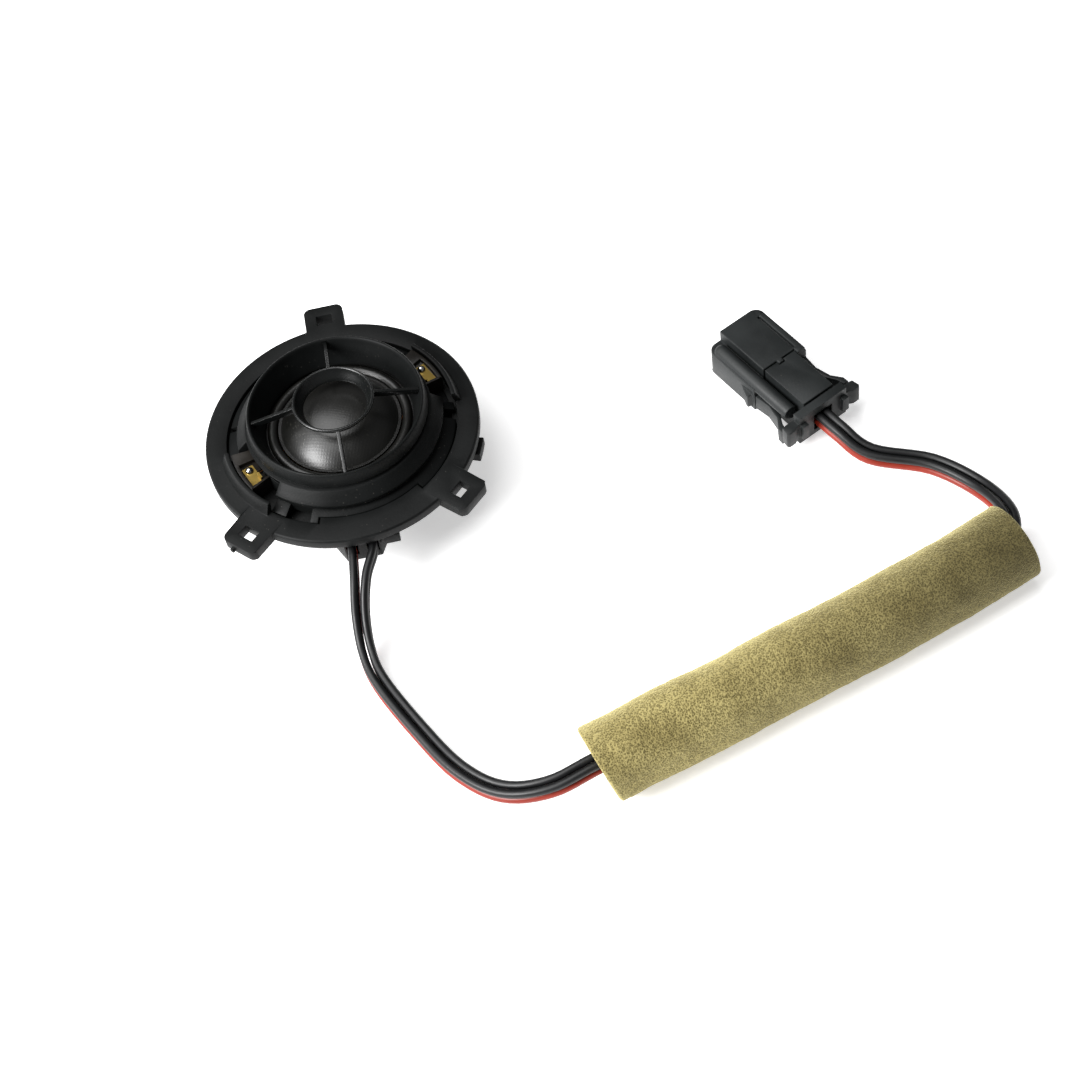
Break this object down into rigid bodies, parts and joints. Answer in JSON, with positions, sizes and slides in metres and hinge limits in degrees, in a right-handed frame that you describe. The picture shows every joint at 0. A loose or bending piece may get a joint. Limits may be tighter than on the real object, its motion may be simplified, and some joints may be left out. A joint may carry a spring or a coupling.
{
  "type": "car tweeter",
  "caption": "Soft-dome car tweeter in a horn with a guard ring, on a round tabbed flange, with a wire lead in a foam sleeve and a locking plug.",
  "frame": {"origin": "on the dome's axis at the flat back of the rear cover", "axes": "+Z along the dome's axis towards the listener, +Y towards the single top tab, +X to the right seen from the front"},
  "size_m": [0.1569, 0.1268, 0.026],
  "materials": {
    "moulded_black": "moulded, fine texture",
    "moulded_brown": "moulded",
    "dome_cloth": "coated cloth",
    "former_film": "polyimide film",
    "copper_wire": "enamelled copper",
    "felt": "felt",
    "plated_steel": "zinc plated",
    "nickel_magnet": "nickel plated",
    "brass": "stamped",
    "solder": "bright",
    "wire_grey": "insulation",
    "board_green": "solder mask",
    "capacitor_red": "dipped",
    "header_white": "moulded",
    "wire_red": "insulation",
    "wire_black": "insulation",
    "foam_tan": "open-cell foam",
    "plug_plastic": "moulded"
  },
  "bodies": {
    "frame": {"mounting_flange": "moulded_black", "horn": "moulded_black", "guard_ring": "moulded_black", "surround": "dome_cloth", "damping_felt": "felt", "pole_plate": "plated_steel", "magnet": "nickel_magnet", "motor_pot": "plated_steel", "chassis": "moulded_black", "terminal_block_left": "moulded_brown", "terminal_block_right": "moulded_brown", "terminal_lug_left": "brass", "terminal_lug_right": "brass", "solder_joints": "solder", "coil_leads": "copper_wire", "inner_leads": "wire_grey", "crossover_board": "board_green", "crossover_capacitor": "capacitor_red", "lead_header": "header_white", "rear_cover": "moulded_black", "wire_red": "wire_red", "wire_black_a": "wire_black", "wire_black_b": "wire_black", "wire_black_c": "wire_black", "foam_sleeve": "foam_tan", "plug_housing": "plug_plastic", "plug_rear_body": "plug_plastic", "plug_contacts": "brass"},
    "diaphragm": {"dome": "dome_cloth", "coil_former": "former_film", "voice_coil": "copper_wire"},
    "lock_plate": {"plug_lock_plate": "plug_plastic"},
    "left_arm": {"latch_arm_left": "plug_plastic"},
    "right_arm": {"latch_arm_right": "plug_plastic"}
  },
  "joints": [
    {"name": "diaphragm_slide", "type": "slide", "parent": "frame", "child": "diaphragm", "axis": [0, 0, 1], "range_m": [-0.0004, 0.0004], "stiffness_N_per_m": 400},
    {"name": "lock_plate_slide", "type": "slide", "parent": "frame", "child": "lock_plate", "axis": [0.454, -0.891, 0], "range_m": [0, 0.0015]},
    {"name": "left_arm_hinge", "type": "hinge", "parent": "frame", "child": "left_arm", "pos_m": [0.08605, -0.0048, 0.0023], "axis": [0, 0, 1], "range_deg": [0, 4], "stiffness_Nm_per_rad": 0.02},
    {"name": "right_arm_hinge", "type": "hinge", "parent": "frame", "child": "right_arm", "pos_m": [0.09719, 0.00088, 0.0041], "axis": [0, 0, -1], "range_deg": [0, 4], "stiffness_Nm_per_rad": 0.02}
  ]
}
